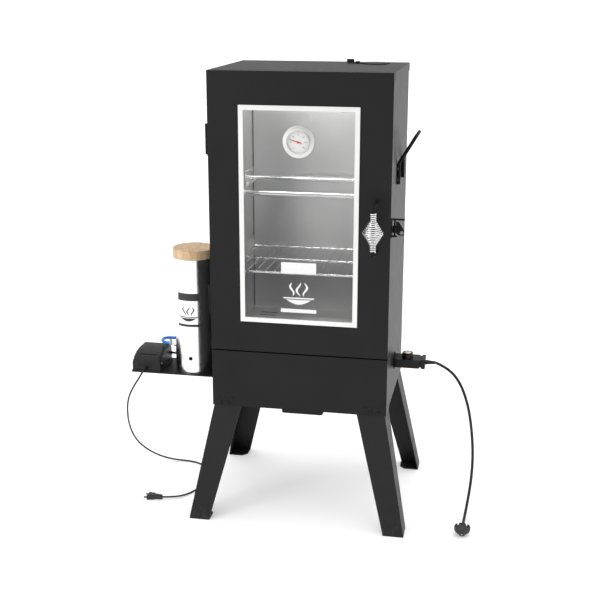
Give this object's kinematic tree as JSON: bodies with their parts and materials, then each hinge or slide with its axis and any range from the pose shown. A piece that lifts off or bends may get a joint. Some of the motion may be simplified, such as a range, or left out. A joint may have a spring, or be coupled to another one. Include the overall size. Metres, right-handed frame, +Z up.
{
  "type": "electric cabinet smoker",
  "caption": "Tall insulated smoking cabinet on splayed legs, with a glazed door, dial thermometer, plug-in heater control and a side smoke generator fed by an air pump.",
  "frame": {"origin": "on the floor, below the middle of the box of the whole object without its free cords", "axes": "+Z up, -Y out of the door, +X to the side with the heater control"},
  "size_m": [0.916, 0.4914, 1.1134],
  "materials": {
    "black_steel": "satin black powder coat on sheet steel",
    "polished_steel": "polished stainless sheet",
    "liner_steel": "brushed stainless sheet",
    "window_metal": "brushed frame",
    "glass": "clear tempered glass",
    "bright_wire": "bright plated wire and turned parts",
    "fastener_zinc": "zinc",
    "wool": "mineral wool",
    "seal_rope": "woven heat-proof rope",
    "black_plastic": "moulded, fine grain",
    "black_rubber": "smooth",
    "cord_sheath": "smooth cable sheath",
    "blue_hose": "smooth silicone",
    "lid_wood": "oiled light wood, end grain rings",
    "heater_tube": "heat-dulled tube",
    "needle_red": "red lacquer",
    "knob_black": "glossy with a ring of marks"
  },
  "bodies": {
    "cabinet": {"left_side_panel": "black_steel", "right_side_panel": "black_steel", "back_panel": "black_steel", "roof_cap": "black_steel", "front_frame": "black_steel", "chamber_walls": "liner_steel", "chamber_ceiling": "liner_steel", "wall_insulation": "wool", "chamber_floor": "liner_steel", "base_floor": "black_steel", "lower_front_panel": "black_steel", "front_left_leg": "black_steel", "front_right_leg": "black_steel", "back_left_leg": "black_steel", "back_right_leg": "black_steel", "leg_bolts": "fastener_zinc", "tray_rails": "black_steel", "cabinet_hinge_leaves": "black_steel", "hasp_stud": "black_steel", "rack_ledges": "liner_steel", "hanging_rods": "bright_wire", "wire_grate": "bright_wire", "damper_screw": "fastener_zinc", "heating_element": "heater_tube", "heater_socket": "black_steel", "control_housing": "black_plastic", "control_cord_relief": "black_rubber", "mains_cord": "cord_sheath", "mains_plug": "black_plastic", "carry_handle": "black_steel", "generator_shelf": "black_steel", "generator_can": "polished_steel", "smoke_outlet_pipe": "polished_steel", "air_jet": "polished_steel", "pump_housing": "black_plastic", "pump_base": "black_plastic", "pump_works": "black_plastic", "air_hose": "blue_hose", "pump_cord_relief": "black_rubber", "pump_cord": "cord_sheath", "pump_plug": "black_plastic"},
    "door": {"door_skin": "black_steel", "door_inner_panel": "liner_steel", "door_insulation": "wool", "window_trim": "window_metal", "window_glass": "glass", "door_seal": "seal_rope", "door_hinge_leaves": "black_steel", "door_handle_rod": "bright_wire", "handle_coil": "bright_wire", "hasp_bracket": "black_steel", "thermometer_case": "bright_wire", "thermometer_lens": "glass", "thermometer_nut": "bright_wire"},
    "tray": {"drip_tray": "black_steel"},
    "hasp": {"hasp_plate": "black_steel"},
    "needle": {"thermometer_needle": "needle_red"},
    "damper": {"vent_damper": "black_steel"},
    "knob": {"control_knob": "knob_black"},
    "lid": {"generator_lid": "lid_wood"}
  },
  "joints": [
    {"name": "door_hinge", "type": "hinge", "parent": "cabinet", "child": "door", "pos_m": [-0.1495, -0.12625, 0.7], "axis": [0, 0, -1], "range_deg": [0, 120]},
    {"name": "hasp_swing", "type": "hinge", "parent": "door", "child": "hasp", "pos_m": [0.2955, -0.13425, 0.748], "axis": [0, 0, 1], "range_deg": [0, 90]},
    {"name": "needle_turn", "type": "hinge", "parent": "door", "child": "needle", "pos_m": [0.0735, -0.16125, 0.946], "axis": [0, 1, 0], "range_deg": [-60, 205]},
    {"name": "damper_swing", "type": "hinge", "parent": "cabinet", "child": "damper", "pos_m": [0.1655, 0.13675, 1.105], "axis": [0, 0, -1], "range_deg": [0, 90]},
    {"name": "knob_turn", "type": "hinge", "parent": "cabinet", "child": "knob", "pos_m": [0.3205, 0.01575, 0.39], "axis": [0, 0, -1], "range_deg": [0, 270]},
    {"name": "lid_lift", "type": "slide", "parent": "cabinet", "child": "lid", "axis": [0, 0, 1], "range_m": [0, 0.1]},
    {"name": "tray_slide", "type": "slide", "parent": "cabinet", "child": "tray", "axis": [0, -1, 0], "range_m": [0, 0.15]}
  ]
}
